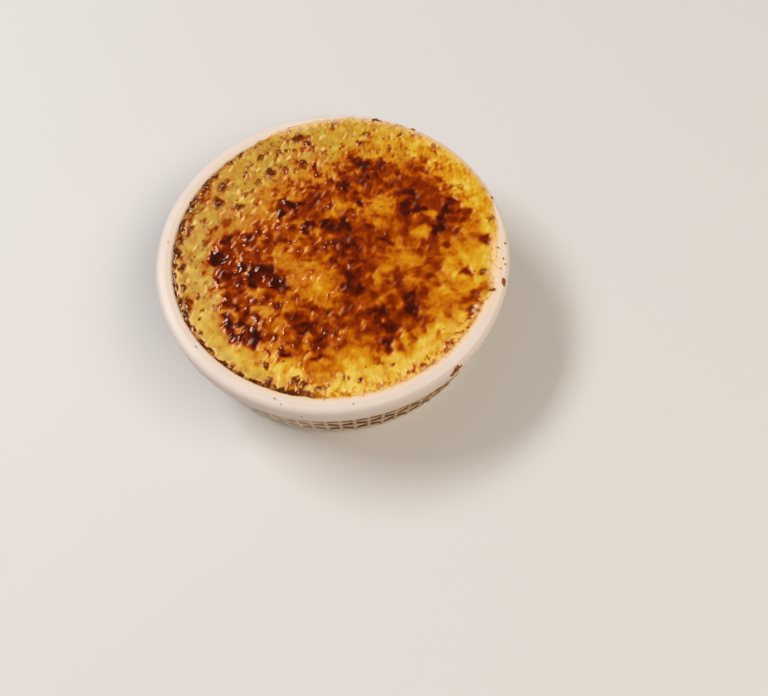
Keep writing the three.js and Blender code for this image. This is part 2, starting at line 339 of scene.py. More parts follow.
def surroundings(x, y):
    """Noises and zones that the parts of the crust share, by name. Wander is the plane with crooked edges.
    The top is rugged at the left, far is the back right, and farther the back left."""
    wander_x = x + 1.3 * rough(x, y, 5.0, 11, 2) + 0.12 * waves(x, y, 1.7, 12)
    wander_y = y + 1.3 * rough(x, y, 5.0, 21, 2) + 0.12 * waves(x, y, 1.7, 22)
    drawn_out = along(x, y, 78, 2.2)
    return SimpleNamespace(
        wander=(wander_x, wander_y),
        mottle=2 * rough(x, y, 7.0, 31, 2, 0.8),
        clump=2 * rough(wander_x, wander_y, 3.4, 41, 2, 0.5),
        grain=1.4 * waves(*along(x, y, 75, 1.5), 1.0, 47),
        ragged=waves(x, y, 0.9, 49),
        streak=waves(*drawn_out, 1.0, 161) + 0.5 * waves(*drawn_out, 0.7, 162),
        rugged=mix(1, 0.45, smoothstep(x - 0.2 * y, -12, 14)),
        far=smoothstep(y + 0.3 * x, 12, 38),
        farther=smoothstep(y - 0.6 * x, -20, 45),
    )


def browning(x, y, here):
    """How brown the top is before anything lies on it, and the knobs on its browned parts, both from 0 to
    1. Caramel, browned and charred patches come from the lists above, their edges broken up by noise."""
    caramel, cloud, scorch, clearing = (
        patches(*here.wander, spots) for spots in (CARAMEL, CLOUDS, SCORCHES, CLEARINGS)
    )
    mottle = here.mottle
    clump = here.clump
    caramelised = smoothstep(caramel + 0.18 * mottle + 0.14 * clump, 0.15, 0.95) * (1 - 0.45 * clearing)
    browned = smoothstep(cloud * (1 - 0.8 * clearing) + 0.14 * mottle + 0.24 * clump, 0.06, 0.94)
    charred = smoothstep(scorch + 0.10 * mottle + 0.15 * clump + 0.05 * here.grain, 0.2, 1.1)
    palest = np.maximum(smoothstep(-x - 1.1 * y, 38, 62), smoothstep(0.5 * x - y, 38, 58))
    tone = 0.15 - 0.07 * palest + 0.26 * caramelised + 0.23 * browned + 0.32 * charred
    calmer = mix(1, 0.6, smoothstep(x - 0.3 * y, -10, 25))
    rough_tone = (0.05 + 0.08 * browned) * clump + (0.035 - 0.005 * browned) * here.grain
    tone = tone + (0.03 + 0.05 * (1 - caramelised)) * mottle + rough_tone * calmer
    tone = tone + (0.05 + 0.08 * here.far) * here.streak * (1 - 0.7 * browned)
    tone = tone + 0.08 * smoothstep(here.streak + 0.5 * clump, 0.3, 1) * here.far * (1 - browned)
    toasted = smoothstep(tone, 0.38, 0.6)
    knob, lot = beads(*along(*here.wander, 62, 1.3), 3.4, 1.1, 2.0, 121)
    knobs = np.clip(knob, 0, 1) * (lot < 0.75) * toasted * here.rugged
    return tone + 0.14 * knobs - 0.01 * toasted * here.rugged, knobs


def clots(x, y, here):
    """Burnt sugar that stands on pale custard, from 0 to 1: clots from the list above, and lumps and dots
    at random, more of them at the back left."""
    torn_x = here.wander[0] + 0.7 * waves(x, y, 1.9, 13)
    torn_y = here.wander[1] + 0.7 * waves(x, y, 1.9, 23)
    clotted = patches(torn_x, torn_y, CLOTS) + 0.24 * here.clump + 0.2 * here.grain + 0.16 * here.ragged
    flock, lot = beads(torn_x, torn_y, 5.6, 1.1, 3.0, 51)
    lumps = smoothstep(0.6 * np.maximum(flock, -0.6) + 0.5 * here.clump + 0.3 * here.grain, 0.15, 0.95)
    lumps = lumps * (lot < 0.1 + 0.7 * here.farther)
    dots, lot = beads(x, y, 2.6, 0.35, 0.8, 61)
    dots = smoothstep(dots, -0.3, 0.7) * (lot < 0.03 + 0.25 * here.farther)
    return smoothstep(clotted, 0.25, 1.0), lumps, dots


def brim_burns(x, y, here):
    """What is burnt along the brim, from 0 to 1: a broken line at the left, a scald inside it, and torn
    strips at the front right."""
    radius = np.hypot(x, y)
    angle = degrees_round(x, y)
    ripple = radius + 1.0 * waves(x, y, 3.1, 71) + 0.3 * waves(x, y, 1.6, 72)
    width = 0.7 + 1.7 * smoothstep(np.abs(angle + 106), 26, 12)
    width = width + 0.5 * smoothstep(np.abs(angle + 16), 12, 4)
    line = smoothstep(ripple, BRIM_RADIUS - 0.8 - width, BRIM_RADIUS - 0.8 - 0.3 * width)
    stretch = smoothstep(angle, -142, -118) * (1 - smoothstep(angle, -20, 5))
    broken = 0.35 + 0.65 * smoothstep(waves(x, y, 3.2, 81) + 0.25 * here.ragged, -0.5, 0.1)
    scald = smoothstep(ripple + 0.8 * here.clump, BRIM_RADIUS - 6.5, BRIM_RADIUS - 2.5)
    scald = scald * smoothstep(np.abs(angle + 100), 26, 8)
    scald = scald * smoothstep(waves(x, y, 4.5, 85) + 0.4 * here.clump, -0.3, 0.4)
    torn_radius = radius + 1.2 * waves(x, y, 2.6, 91) + 0.6 * here.ragged
    frill = smoothstep(torn_radius, BRIM_RADIUS - 3.8, BRIM_RADIUS - 1.6)
    front = smoothstep(angle, -20, 0) * (1 - smoothstep(angle, 62, 80))
    front = front * mix(0.6, 1, smoothstep(angle, 15, 35))
    torn = waves(x, y, 1.6, 95) + 0.4 * waves(x, y, 6, 96) + 0.5 * here.ragged
    return line * stretch * broken, scald, frill * front * smoothstep(torn, -0.25, 0.45)


def crust(x, y):
    """How brown the top is from 0, pale custard, to 1, charred, how much burnt sugar lies on it, from 0 to
    1, and how far it swells, in millimetres. Over the browning lie clots with a browned halo, where the
    custard is pale, and the burns along the brim. Clots, knobs, blisters and prickles make the relief."""
    here = surroundings(x, y)
    clump = here.clump
    ragged = here.ragged
    tone, knobs = browning(x, y, here)
    clot, lumps, dots = clots(x, y, here)
    burnt, scald, strips = brim_burns(x, y, here)

    pale = 1 - smoothstep(tone, 0.3, 0.55)
    stuck = pale * np.maximum(0.7 * lumps, 0.5 * dots)
    soot = np.maximum(clot * (0.95 + 0.3 * ragged), stuck * (1 + 0.3 * ragged))
    soot = soot * (1 - smoothstep(tone, 0.55, 0.8))
    halo = smoothstep(patches(*here.wander, CLOTS) + 0.6 * lumps, 0.05, 0.6)
    tone = tone + pale * (0.19 * halo + here.farther * (0.06 * waves(x, y, 4.2, 55) - 0.01))
    tone = mix(tone, np.maximum(tone, 0.33 + 0.08 * ragged), 0.9 * scald)
    tone = mix(tone, np.maximum(tone, 0.5 + 0.14 * ragged), strips)
    stains = np.maximum(0.55 * scald * (1 + 0.6 * clump + 0.2 * ragged), 0.28 * strips)
    soot = np.clip(np.maximum(soot, np.maximum(1.1 * burnt, stains)), 0, 1)
    tone = np.clip(np.maximum(tone, 0.36 * smoothstep(soot, 0, 0.5)), 0, 1)

    flat = smoothstep(np.hypot(x, y), BRIM_RADIUS - 0.8, BRIM_RADIUS)
    gloss = smoothstep(np.maximum(tone, 0.7 * soot), 0.2, 0.5) * (1 - flat)
    blister, lot = beads(*along(x, y, 62, 2.3), 2.3, 0.55, 1.0, 131)
    swell = 0.36 * np.clip(blister, 0, 1) ** 1.5 * smoothstep(lot, 0.4, 0.15) * gloss * here.rugged
    fine, lot = beads(*along(x, y, 60, 2.4), 1.3, 0.4, 0.65, 141)
    prickles = 0.13 * np.clip(fine, 0, 1) ** 1.5 * (lot < 0.2 * here.rugged + 0.16 * here.far) * (1 - flat)
    swell = swell + 0.26 * knobs + prickles
    swell = swell + 0.06 * clump * gloss * here.rugged + 0.03 * waves(x, y, 2.0, 151)
    swell = swell + mix(0.04, 0.006, gloss) * here.grain + 0.04 * here.streak * here.far * (1 - gloss)
    raised = mix(0.4, 1, smoothstep(y - 0.2 * x, -16, 16))
    swell = swell + pale * (0.34 * lumps + 0.2 * dots) * raised + 0.04 * burnt
    swell = swell + clot * (0.5 + 0.3 * ragged) * mix(0.3, 1, raised) + (0.3 + 0.25 * ragged) * strips
    swell = swell + 0.16 * fringe(x, y) * (1 - flat)
    return tone, soot, swell


def fringe(x, y):
    """Fine pale ridges that run out towards the brim along the front, from 0 to 1."""
    radius = np.hypot(x, y)
    angle = degrees_round(x, y)
    front = smoothstep(angle, -32, -8) * (1 - smoothstep(angle, 45, 66))
    ridge = waves(0.94 * angle, radius / 3.4, 0.75, 201) + 0.5 * waves(x, y, 4, 202)
    return smoothstep(radius, BRIM_RADIUS - 10, BRIM_RADIUS - 2) * front * smoothstep(ridge, -0.1, 0.6)


def glow(x, y, darkness):
    """Painted glow: a pale colour that stands in for light shining through the caramel behind the burnt
    lumps, how much darker the top is a little to the left than here. The fringe's own pale ridges are as
    pale."""
    tone, soot, _ = crust(x - 0.9, y + 0.1)
    # Painted glow: paler where the sugar a little to the left is darker, as if lit through it.
    behind = smoothstep(np.maximum(tone, 0.7 * soot) - darkness, 0.14, 0.42)
    strands = 0.7 * fringe(x, y) * (1 - smoothstep(darkness, 0.3, 0.55))
    return np.maximum(behind * mix(1, 0.35, smoothstep(darkness, 0.25, 0.5)), strands)


def dullness_and_painted_shade(x, y, tone):
    """Where pale custard is a duller, greener yellow: the back left, in broad patches, and along the brim
    at the left, where it is painted shade from the rim."""
    back = smoothstep(0.6 * y - x + 22 * rough(x, y, 8, 181), -20, 50)
    radius = np.hypot(x, y)
    back = back * mix(0.3, 1, smoothstep(radius, 24, 44))
    # Painted shade: the brim at the left, where the rim shades the custard.
    brim = smoothstep(radius, BRIM_RADIUS - 10, BRIM_RADIUS) * smoothstep(-x, 0, 30)
    dull = np.maximum(back, brim) * (1 - smoothstep(tone, 0.3, 0.55))
    return np.maximum(dull, 0.4 * brim * smoothstep(radius, BRIM_RADIUS - 3, BRIM_RADIUS - 1))


def painted_glint_cover(x, y, soot):
    """Where short strokes of painted highlight, with their bumps, lie on the top: most on the clots and at
    the back left, few at the right, none along the brim."""
    inner = 1 - smoothstep(np.hypot(x, y), BRIM_RADIUS - 4, BRIM_RADIUS - 1.5)
    wet = mix(1, 0.35, smoothstep(x, -12, 18)) * smoothstep(rough(x, y, 7, 191), -0.4, 0.4)
    wet = mix(wet, 1.2, 0.8 * smoothstep(y - 1.2 * x, 20, 50))
    on_clots = smoothstep(soot, 0.2, 0.6) * mix(0.25, 1, smoothstep(y - 0.5 * x, -20, 20))
    return inner * np.maximum(0.8 * wet, on_clots)


# ---- meshes


def new_object(name, data):
    """An object in the scene that carries this data."""
    made = bpy.data.objects.new(name, data)
    bpy.context.scene.collection.objects.link(made)
    return made


def new_piece(name, points, faces, node, fields):
    """A mesh object from points in millimetres and faces as lists of point numbers, smooth, riding on the
    body, with one number per point for each field. It replaces the CAD node, if it has one."""
    mesh = bpy.data.meshes.new(name)
    mesh.from_pydata((np.asarray(points) * MM).tolist(), [], faces)
    mesh.validate()
    mesh.shade_smooth()
    for field, values in fields.items():
        data = mesh.attributes.new(field, "FLOAT", "POINT").data
        data.foreach_set("value", np.asarray(values, dtype=np.float32).ravel())
    piece = new_object(name, mesh)
    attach(piece, "root")
    if node:
        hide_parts(node)
    return piece


def grid_faces(rows, columns, wrap=True, start=0):
    """Quads of a grid numbered row by row from start. With wrap, the last column meets the first."""
    row = np.arange(rows - 1)[:, None]
    column = np.arange(columns if wrap else columns - 1)[None, :]
    beside = (column + 1) % columns
    near = row * columns
    far = near + columns
    return np.stack([near + column, near + beside, far + beside, far + column], -1).reshape(-1, 4) + start


def fan_faces(ring, centre):
    """Triangles from each edge of a ring of point numbers to a centre point."""
    ring = np.asarray(ring)
    return np.stack([ring, np.roll(ring, -1), np.full(len(ring), centre)], -1)


def arc(centre_radius, centre_height, radius, start, end, steps):
    """(radius, height) points of an arc about a centre. 0 points outwards and 90 degrees points up."""
    angle = np.radians(np.linspace(start, end, steps + 1))
    return np.stack([centre_radius + radius * np.cos(angle), centre_height + radius * np.sin(angle)], -1)


def weave(angle, height):
    """How far the weave stands out of the wall, and how much of a pit a point is. In each row a strand
    with a half-round section rides over every other stave and dives behind the ones between. A stave is a
    rod with a half-round section, and the higher of the two shows."""
    stave = angle / TAU * STAVES
    row = (height - WEAVE_BOTTOM) / (WEAVE_TOP - WEAVE_BOTTOM) * WEAVE_ROWS
    inside = (row > 0) & (row < WEAVE_ROWS)
    across = (2 * (row % 1) - 1) / STRAND_SHARE
    roundness = np.sqrt(np.clip(1 - across**2, 0, 1)) ** 0.8
    over = (1 + np.cos(np.pi * (stave + np.floor(row)))) / 2
    strand = STRAND_PROUD * roundness * mix(STRAND_DIP, 1, over)
    beside = np.abs(stave - np.round(stave)) / STAVE_HALF_WIDTH
    rod = STAVE_PROUD * np.sqrt(np.clip(1 - beside**2, 0, 1))
    high = np.maximum(strand, rod)
    low = np.minimum(strand, rod)
    softened = high + 0.12 * np.exp(-(((high - low) / 0.2) ** 2))
    relief = np.where(inside, np.minimum(softened, STRAND_PROUD), 0)
    pit = np.where(inside, mix(0.22, 1, 1 - smoothstep(high, 0.16, 0.58)), 0)
    return relief, pit


def dish_section():
    """Radius and height along the dish's section, in three parts: underside, foot and heel, then the wall
    without its weave, then collar, rim, inside wall and floor."""
    wall_height = np.linspace(WEAVE_BOTTOM, WEAVE_TOP, WEAVE_ROWS * LEVELS_PER_ROW + 1)
    wall_radius = np.interp(wall_height, (WEAVE_BOTTOM, WEAVE_TOP), (HEEL_RADIUS, WALL_TOP_RADIUS))
    recess_end = FOOT_INNER_RADIUS - RECESS_DEPTH
    outer_end = RIM_RADIUS - RIM_OUTER_ROUND
    inner_end = BRIM_RADIUS + RIM_INNER_ROUND
    lower_edge = RIM_RADIUS - COLLAR_TAPER
    crown = np.linspace(outer_end, inner_end, 6)[1:-1]
    top = HEIGHT - RIM_SAG
    below = np.concatenate([
        [[ring, RECESS_DEPTH] for ring in (15, 30, 42)],
        arc(recess_end - RECESS_ROUND, RECESS_DEPTH - RECESS_ROUND, RECESS_ROUND, 90, 45, 2),
        arc(FOOT_INNER_RADIUS + FOOT_ROUND, FOOT_ROUND, FOOT_ROUND, 225, 270, 3),
        [[FOOT_MIDDLE, 0]],
        arc(HEEL_RADIUS - HEEL_ROUND, HEEL_ROUND, HEEL_ROUND, -90, 0, 6),
    ])
    above = np.concatenate([
        [[WALL_TOP_RADIUS, WEAVE_TOP + 0.25]],
        arc(WALL_TOP_RADIUS + STEP_ROUND, COLLAR_BOTTOM - STEP_ROUND, STEP_ROUND, 180, 90, 2),
        arc(lower_edge - COLLAR_ROUND, COLLAR_BOTTOM + COLLAR_ROUND, COLLAR_ROUND, -90, 0, 6),
        [[mix(lower_edge, RIM_RADIUS, 0.5) + 0.02, mix(COLLAR_BOTTOM, HEIGHT, 0.4)]],
        arc(outer_end, top - RIM_OUTER_ROUND, RIM_OUTER_ROUND, 0, 90, 10),
        np.stack([crown, rim_height(crown)], -1),
        arc(inner_end, top - RIM_INNER_ROUND, RIM_INNER_ROUND, 90, 180, 8),
        INNER_WALL,
        arc(CORNER_RADIUS - CORNER_ROUND, FLOOR_TOP + CORNER_ROUND, CORNER_ROUND, 0, -90, 5),
        [[24, FLOOR_TOP]],
    ])
    return below, np.stack([wall_radius, wall_height], -1), above


def brown_glaze_and_painted_shade(angle, radius, height, pit):
    """How brown the glaze is, painted shade included: most in the weave's pits, partly pooled glaze and
    partly painted shade in the hollows, a little all over the wall and down the collar as painted shade,
    more at the right and less at the left, painted shade from the lamp at the left.
    """
    outside = radius > HEEL_RADIUS
    # Painted shade: browner towards the right, the side turned from the lamp.
    painted_shade_right = smoothstep(np.sin(angle), -0.15, 0.55)
    wall_brown_and_painted_shade = mix(0.14, 0.3, painted_shade_right) * smoothstep(height, COLLAR_BOTTOM + 1, WEAVE_TOP) * outside
    brown = np.maximum(pit + 0.1 * painted_shade_right * (pit > 0), wall_brown_and_painted_shade)
    # Painted shade: a little darker down the collar towards its lower edge.
    brown = np.maximum(brown, 0.12 * smoothstep(height, HEIGHT - 3, COLLAR_BOTTOM) * outside)
    # Painted shade: half as brown at the left, where the lamp lights the wall.
    return brown * mix(0.5, 1, smoothstep(np.sin(angle), -0.5, 0.2))


def golden_stain_and_painted_shade(x, y, z):
    """How golden the glaze is: a smear of custard on the rim at the right, a halo where the burnt sugar
    touches the rim, and a warmer glaze down the wall, partly painted warm shade that grows towards the
    right."""
    angle = degrees_round(x, y)
    out = np.hypot(x, y)
    on_rim = smoothstep(z, HEIGHT - 2.2, HEIGHT - 0.8)
    right = smoothstep(angle, 57, 68) * (1 - smoothstep(angle, 118, 150))
    streaky = 0.5 + 0.5 * rough(x, y, 3.0, 401)
    smear = on_rim * right * (1 - 0.75 * smoothstep(out + 1.2 * streaky, 55.5, 60)) * (0.7 + 0.3 * streaky)
    halo = on_rim * (1 - smoothstep(out, BRIM_RADIUS + 0.3, BRIM_RADIUS + 2.8 + 0.8 * streaky))
    halo = halo * (0.3 + 0.7 * smoothstep(angle, -60, 20))
    wall = smoothstep(z, HEIGHT - 4, COLLAR_BOTTOM) * (out > HEEL_RADIUS - HEEL_ROUND)
    # Partly painted warm shade: the wall's warm tint grows towards the right.
    warm_glaze_and_painted_shade = wall * mix(0.3, 0.7, smoothstep(x, -40, 30))
    return np.clip(np.maximum(np.maximum(0.9 * smear, 0.75 * halo), warm_glaze_and_painted_shade), 0, 1)


def dish():
    """The dish is its section turned about Z. The wall's radius is the straight cone between its two ends
    plus the weave's relief."""
    columns = STAVES * COLUMNS_PER_STAVE
    angle = np.arange(columns) * TAU / columns
    below, wall, above = dish_section()
    section = np.concatenate([below, wall, above])
    rows = len(section)
    woven = slice(len(below), len(below) + len(wall))
    radius = np.repeat(section[:, :1], columns, 1)
    height = np.repeat(section[:, 1:], columns, 1)
    pit = np.zeros((rows, columns))
    relief, pit[woven] = weave(angle[None, :], wall[:, 1:])
    radius[woven] += relief
    turned = np.stack([radius * np.sin(angle), -radius * np.cos(angle), height], -1).reshape(-1, 3)
    points = np.concatenate([turned, [[0, 0, RECESS_DEPTH], [0, 0, FLOOR_TOP]]])
    caps = np.concatenate([
        fan_faces(np.arange(columns)[::-1], len(turned)),
        fan_faces(np.arange(columns) + (rows - 1) * columns, len(turned) + 1),
    ])
    faces = grid_faces(rows, columns).tolist() + caps.tolist()
    # The pit field holds pooled brown glaze and painted shade, the stain field golden stains and painted
    # warm shade.
    fields = {
        "pit": np.append(brown_glaze_and_painted_shade(angle, radius, height, pit), [0, 0]),
        "stain_and_painted_shade": golden_stain_and_painted_shade(*points.T),
    }
    return new_piece("dish_glazed", points, faces, "dish", fields)


def crust_level(x, y):
    """Height of the custard before its crust: tilted up towards the overflow and a little domed, with broad
    swells."""
    radius = np.hypot(x, y)
    share = np.minimum(radius / BRIM_RADIUS, 1)
    angle = np.arctan2(x, -y)
    broad = np.sin(x / 5.1 + 1.3 * np.sin(y / 9)) * np.cos(y / 4.3 + 0.9 * np.sin(x / 7))
    tilt = LEVEL_TILT * share * np.cos(angle - np.radians(OVERFLOW_ANGLE))
    calm = 1 - smoothstep(share, 0.75, 0.98)
    return LEVEL + tilt + DOME * (1 - share**2) + SWELL * broad * calm


def custard_height(x, y, swell):
    """The level plus the crust's swell. At the brim it climbs onto the rim and ends there in a thin rounded
    edge: a film over the rim's own height that thins out along a parabola."""
    radius = np.hypot(x, y)
    angle = degrees_round(x, y)
    reach = outreach(angle)
    lip = smoothstep(reach, 0.9, 2.4)
    smeared = smoothstep(angle, 60, 74) * (1 - smoothstep(angle, 100, 125))
    inside = np.clip((BRIM_RADIUS + reach - radius) / mix(mix(1.0, 2.2, lip), 4, smeared), 0, 1)
    film = EDGE_FILM + mix(mix(0.2, 0.1, smeared), OVERFLOW_FILM - EDGE_FILM, lip) * inside * (2 - inside)
    rim = rim_height(radius)
    ground = mix(rim, np.maximum(rim, HEIGHT * (radius < BRIM_RADIUS + 2)), lip)
    on_rim = smoothstep(radius, BRIM_RADIUS - mix(0.9, 6, lip), BRIM_RADIUS + mix(0.2, 1.2, lip))
    height = mix(crust_level(x, y), ground + film, on_rim)
    return np.minimum(height + swell * mix(1, 0.5, on_rim) * np.clip(inside * 1.5, 0, 1), HIGHEST)


def film_thinness_and_painted_glint(x, y):
    """1 at the custard's edge, falling to 0 over a band that is wide at the right, where the custard is
    only smeared over the rim, and narrow elsewhere. Two pale flecks at the front right are a painted
    highlight in the same pale colour."""
    angle = degrees_round(x, y)
    reach = outreach(angle)
    inside = BRIM_RADIUS + reach - np.hypot(x, y)
    smeared = smoothstep(angle, 68, 78) * (1 - smoothstep(angle, 84, 100))
    over = smoothstep(reach, 0.5, 2)
    behind = smoothstep(np.abs(angle), 100, 150)
    plain = mix(0.3, 0.9, smoothstep(angle, -10, 20))
    spread = np.maximum(mix(plain, 4.2, smeared), over * mix(2, 4.2, behind))
    band = spread * (1 + 0.4 * waves(x, y, 2.2, 171) + 0.5 * waves(x, y, 0.9, 172))
    # Painted highlight: two pale flecks where the custard meets the rim at the front right.
    painted_glint_flecks = patches(x, y, ((46.9, -25.2, 1.1, 1), (46.0, -26.8, 0.9, 0.9)))
    return np.maximum(painted_glint_flecks, 1 - smoothstep(inside, -0.1, np.maximum(band, 0.2)))


def disc_grid():
    """A square grid bent into a disc of radius 1, so that its cells stay nearly even: the larger of the
    square's two coordinates is the radius, and their ratio the angle within that quarter."""
    side = np.linspace(-1, 1, CRUST_CELLS + 1)
    u, v = np.meshgrid(side, side)
    wide = np.abs(u) >= np.abs(v)
    ring = np.where(wide, u, v)
    other = np.where(wide, v, u)
    quarter = np.pi / 4 * np.divide(other, ring, out=np.zeros_like(ring), where=ring != 0)
    turn = np.where(wide, quarter, np.pi / 2 - quarter)
    return ring * np.cos(turn), ring * np.sin(turn)


def custard():
    """The top is the disc stretched to the custard's outline. From its edge the side goes down, in under
    the overflow and down the inside of the dish, to a closed bottom."""
    x, y = disc_grid()
    share = np.hypot(x, y)
    reach = outreach(degrees_round(x, y))
    stretched = BRIM_RADIUS + reach * smoothstep(share, 0.8, 1)
    x = x * stretched
    y = y * stretched
    tone, soot, swell = crust(x, y)
    darkness = np.maximum(tone, 0.7 * soot)
    z = custard_height(x, y, swell)
    layers = {
        "browning": tone, "soot": soot, "thin": film_thinness_and_painted_glint(x, y), "glow": glow(x, y, darkness),
        "dull": dullness_and_painted_shade(x, y, darkness), "wet": painted_glint_cover(x, y, soot),
    }
    top = np.stack([x, y, z], -1).reshape(-1, 3)
    count = CRUST_CELLS + 1
    faces = grid_faces(count, count, wrap=False)
    numbers = np.arange(count * count).reshape(count, count)
    rim = np.concatenate([numbers[0, :-1], numbers[:-1, -1], numbers[-1, :0:-1], numbers[:0:-1, 0]])
    edge_x, edge_y, edge_z = top[rim].T
    rim_angle = np.arctan2(edge_x, -edge_y)
    rim_radius = np.hypot(edge_x, edge_y)
    on_top = rim_radius > BRIM_RADIUS + 1.2
    wall = BRIM_RADIUS - GAP
    corner = arc(CORNER_RADIUS - CORNER_ROUND, FLOOR_TOP + CORNER_ROUND, CORNER_ROUND - GAP, 0, -90, 4)
    tucked = np.where(on_top, HEIGHT - 0.8, edge_z - 0.7)
    levels = [
        (rim_radius - 0.05, edge_z - 0.15),
        (np.minimum(rim_radius, BRIM_RADIUS + 0.2), tucked),
    ]
    for r, h in ((wall, HEIGHT - 2.6), SIDE_MIDDLE, *corner):
        levels.append((r, np.full(len(rim), h)))
    skirt = [np.stack([r * np.sin(rim_angle), -r * np.cos(rim_angle), h], -1) for r, h in levels]
    start = len(top)
    points = np.concatenate([top, *skirt, [[0, 0, FLOOR_TOP + GAP]]])
    width = len(rim)
    first = np.stack([rim, start + np.arange(width)])
    beside = np.roll(first, -1, 1)
    joining = np.stack([first[0], first[1], beside[1], beside[0]], -1)
    side_faces = grid_faces(len(levels), width, start=start)[:, ::-1]
    last = start + (len(levels) - 1) * width + np.arange(width)
    bottom = fan_faces(last[::-1], len(points) - 1)
    faces = faces.tolist() + joining.tolist() + side_faces.tolist() + bottom.tolist()
    fields = {}
    for name, layer in layers.items():
        values = layer.ravel()
        fields[name] = np.concatenate([values, np.tile(values[rim], len(levels)), [0]])
    return new_piece("custard_burnt_top", points, faces, "custard", fields)


def crumbs():
    """Crumbs and drips of burnt sugar on the rim and the collar, in one piece. Each is a ball of rows and
    columns, made lumpy by noise, flattened to lie on what carries it and long along its heading."""
    spots = np.array(CRUMBS, dtype=float)
    count = len(spots)
    rows = 8
    columns = 16
    x, y, z, size, stretch, heading, _ = (spots[:, i][:, None, None] for i in range(7))
    tilt = np.linspace(0, np.pi, rows + 2)[1:-1][None, :, None]
    turn = (np.arange(columns) * TAU / columns)[None, None, :]
    number = np.arange(count)[:, None, None]
    knot = (2.2 * np.cos(turn) + 9 * number, 2.2 * np.sin(turn) + 3 * tilt)
    lumpy = 1 + 0.36 * waves(*knot, 1.6, 501) + 0.16 * waves(*knot, 0.8, 503)
    out = lumpy * np.sin(tilt) * size / 2
    heading = np.radians(heading)
    ahead = out * np.cos(turn) * stretch
    beside = out * np.sin(turn)
    level = ahead * np.cos(heading) - beside * np.sin(heading)
    rise = ahead * np.sin(heading) + beside * np.cos(heading)
    up = np.cos(tilt) * size * 0.32
    radius = np.hypot(x, y)
    on_collar = (radius > RIM_RADIUS - 0.4).astype(float)
    ground = np.where(z > 0, z, rim_height(radius) + 0.1 + 0.3 * (radius < BRIM_RADIUS + 3))
    # On the rim the ball's axis is upright, on the collar it points outwards.
    flat = [level, rise, up]
    out_x = x / radius
    out_y = y / radius
    upright = [out_x * up - out_y * level, out_y * up + out_x * level, rise + 0 * up]
    shell = [c + mix(a, b, on_collar) for c, a, b in zip((x, y, ground), flat, upright)]
    balls = np.stack(np.broadcast_arrays(*shell), -1)
    ends = []
    for sign in (1, -1):
        tip = sign * 0.32 * size
        end = [x + on_collar * out_x * tip, y + on_collar * out_y * tip, ground + (1 - on_collar) * tip]
        ends.append(np.stack(np.broadcast_arrays(*end), -1).reshape(count, 1, 3))
    points = np.concatenate([balls.reshape(count, rows * columns, 3), *ends], 1)
    each = points.shape[1]
    ring = np.arange(columns)
    last_ring = ring + (rows - 1) * columns
    caps = np.concatenate([fan_faces(ring[::-1], each - 2), fan_faces(last_ring, each - 1)])
    first = (np.arange(count) * each)[:, None, None]
    quads = (grid_faces(rows, columns)[None] + first).reshape(-1, 4).tolist()
    triangles = (caps[None] + first).reshape(-1, 3).tolist()
    burnt = np.repeat(spots[:, 6], each)
    none = dict.fromkeys(("thin", "glow", "dull", "wet"), 0 * burnt)
    fields = {"browning": 0.3 + 0 * burnt, "soot": burnt} | none
    points = points.reshape(-1, 3)
    return new_piece("burnt_crumbs", points, quads + triangles, None, fields)


# ---- materials


class Signal:
    """An output of a material's nodes. + - * with another signal or a number add Math nodes."""

    def __init__(self, recipe, socket):
        self.recipe = recipe
        self.socket = socket

    def maths(self, operation, first, second):
        return self.recipe.add("ShaderNodeMath", {"operation": operation}, {0: first, 1: second})

    def __add__(self, other):
        return self.maths("ADD", self, other)

    def __sub__(self, other):
        return self.maths("SUBTRACT", self, other)

    def __mul__(self, other):
        return self.maths("MULTIPLY", self, other)


